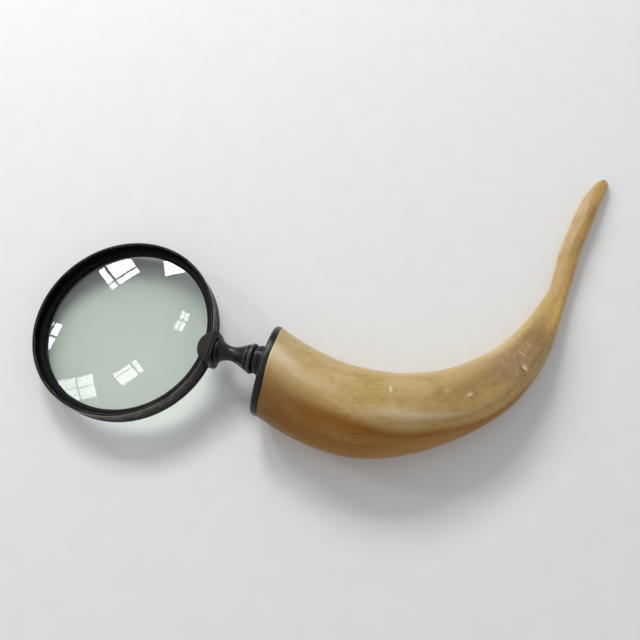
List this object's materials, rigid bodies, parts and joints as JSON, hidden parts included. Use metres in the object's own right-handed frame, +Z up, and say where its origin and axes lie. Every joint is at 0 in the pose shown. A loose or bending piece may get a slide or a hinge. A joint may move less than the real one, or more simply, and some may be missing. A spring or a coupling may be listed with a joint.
{
  "type": "magnifying glass",
  "caption": "Hand magnifying glass with a biconvex lens in a metal rim, a cast saddle and turned neck, and a curved horn handle; the head unscrews from the handle.",
  "frame": {"origin": "middle of the object's footprint on the desk, with the magnifier lying on its side", "axes": "+Z up from the desk, +X from the lens along the neck to the handle, +Y towards the side the horn's tip curls to"},
  "size_m": [0.3234, 0.242, 0.0418],
  "materials": {
    "bronze": "dark oil-rubbed patina, satin, worn bright along the lip",
    "black_lacquer": "matt black, to stop glare round the lens",
    "lens_glass": "polished, clear, faint green at the edge",
    "gasket": "matt",
    "steel": "turned, plain",
    "brass": "turned, plain",
    "cap_black": "black, polished",
    "plug_wood": "sawn hardwood",
    "horn": "polished natural horn, blond above and amber below, fine lengthwise streaks"
  },
  "bodies": {
    "handle": {"horn_handle": "horn", "core_plug": "plug_wood", "end_cap": "cap_black", "cap_dowels": "brass", "stud": "steel", "stud_nut": "steel", "nut_washer": "steel"},
    "collar": {"foot_collar": "bronze"},
    "head": {"rim_ring": "bronze", "lens": "lens_glass", "lens_gasket": "gasket", "retaining_ring": "black_lacquer", "saddle": "bronze", "head_screw": "steel", "neck_baluster": "bronze"}
  },
  "joints": [
    {"name": "thread_advance", "type": "slide", "parent": "handle", "child": "collar", "axis": [-0.9952, 0, -0.0976], "range_m": [0, 0.005]},
    {"name": "head_turn", "type": "hinge", "parent": "collar", "child": "head", "pos_m": [-0.02278, -0.06605, 0.02029], "axis": [-0.9952, 0, -0.0976], "range_deg": [0, 1440]}
  ],
  "couplings": [
    {"joint": "thread_advance", "follows": "head_turn", "m_per_rad": 0.00019894}
  ]
}
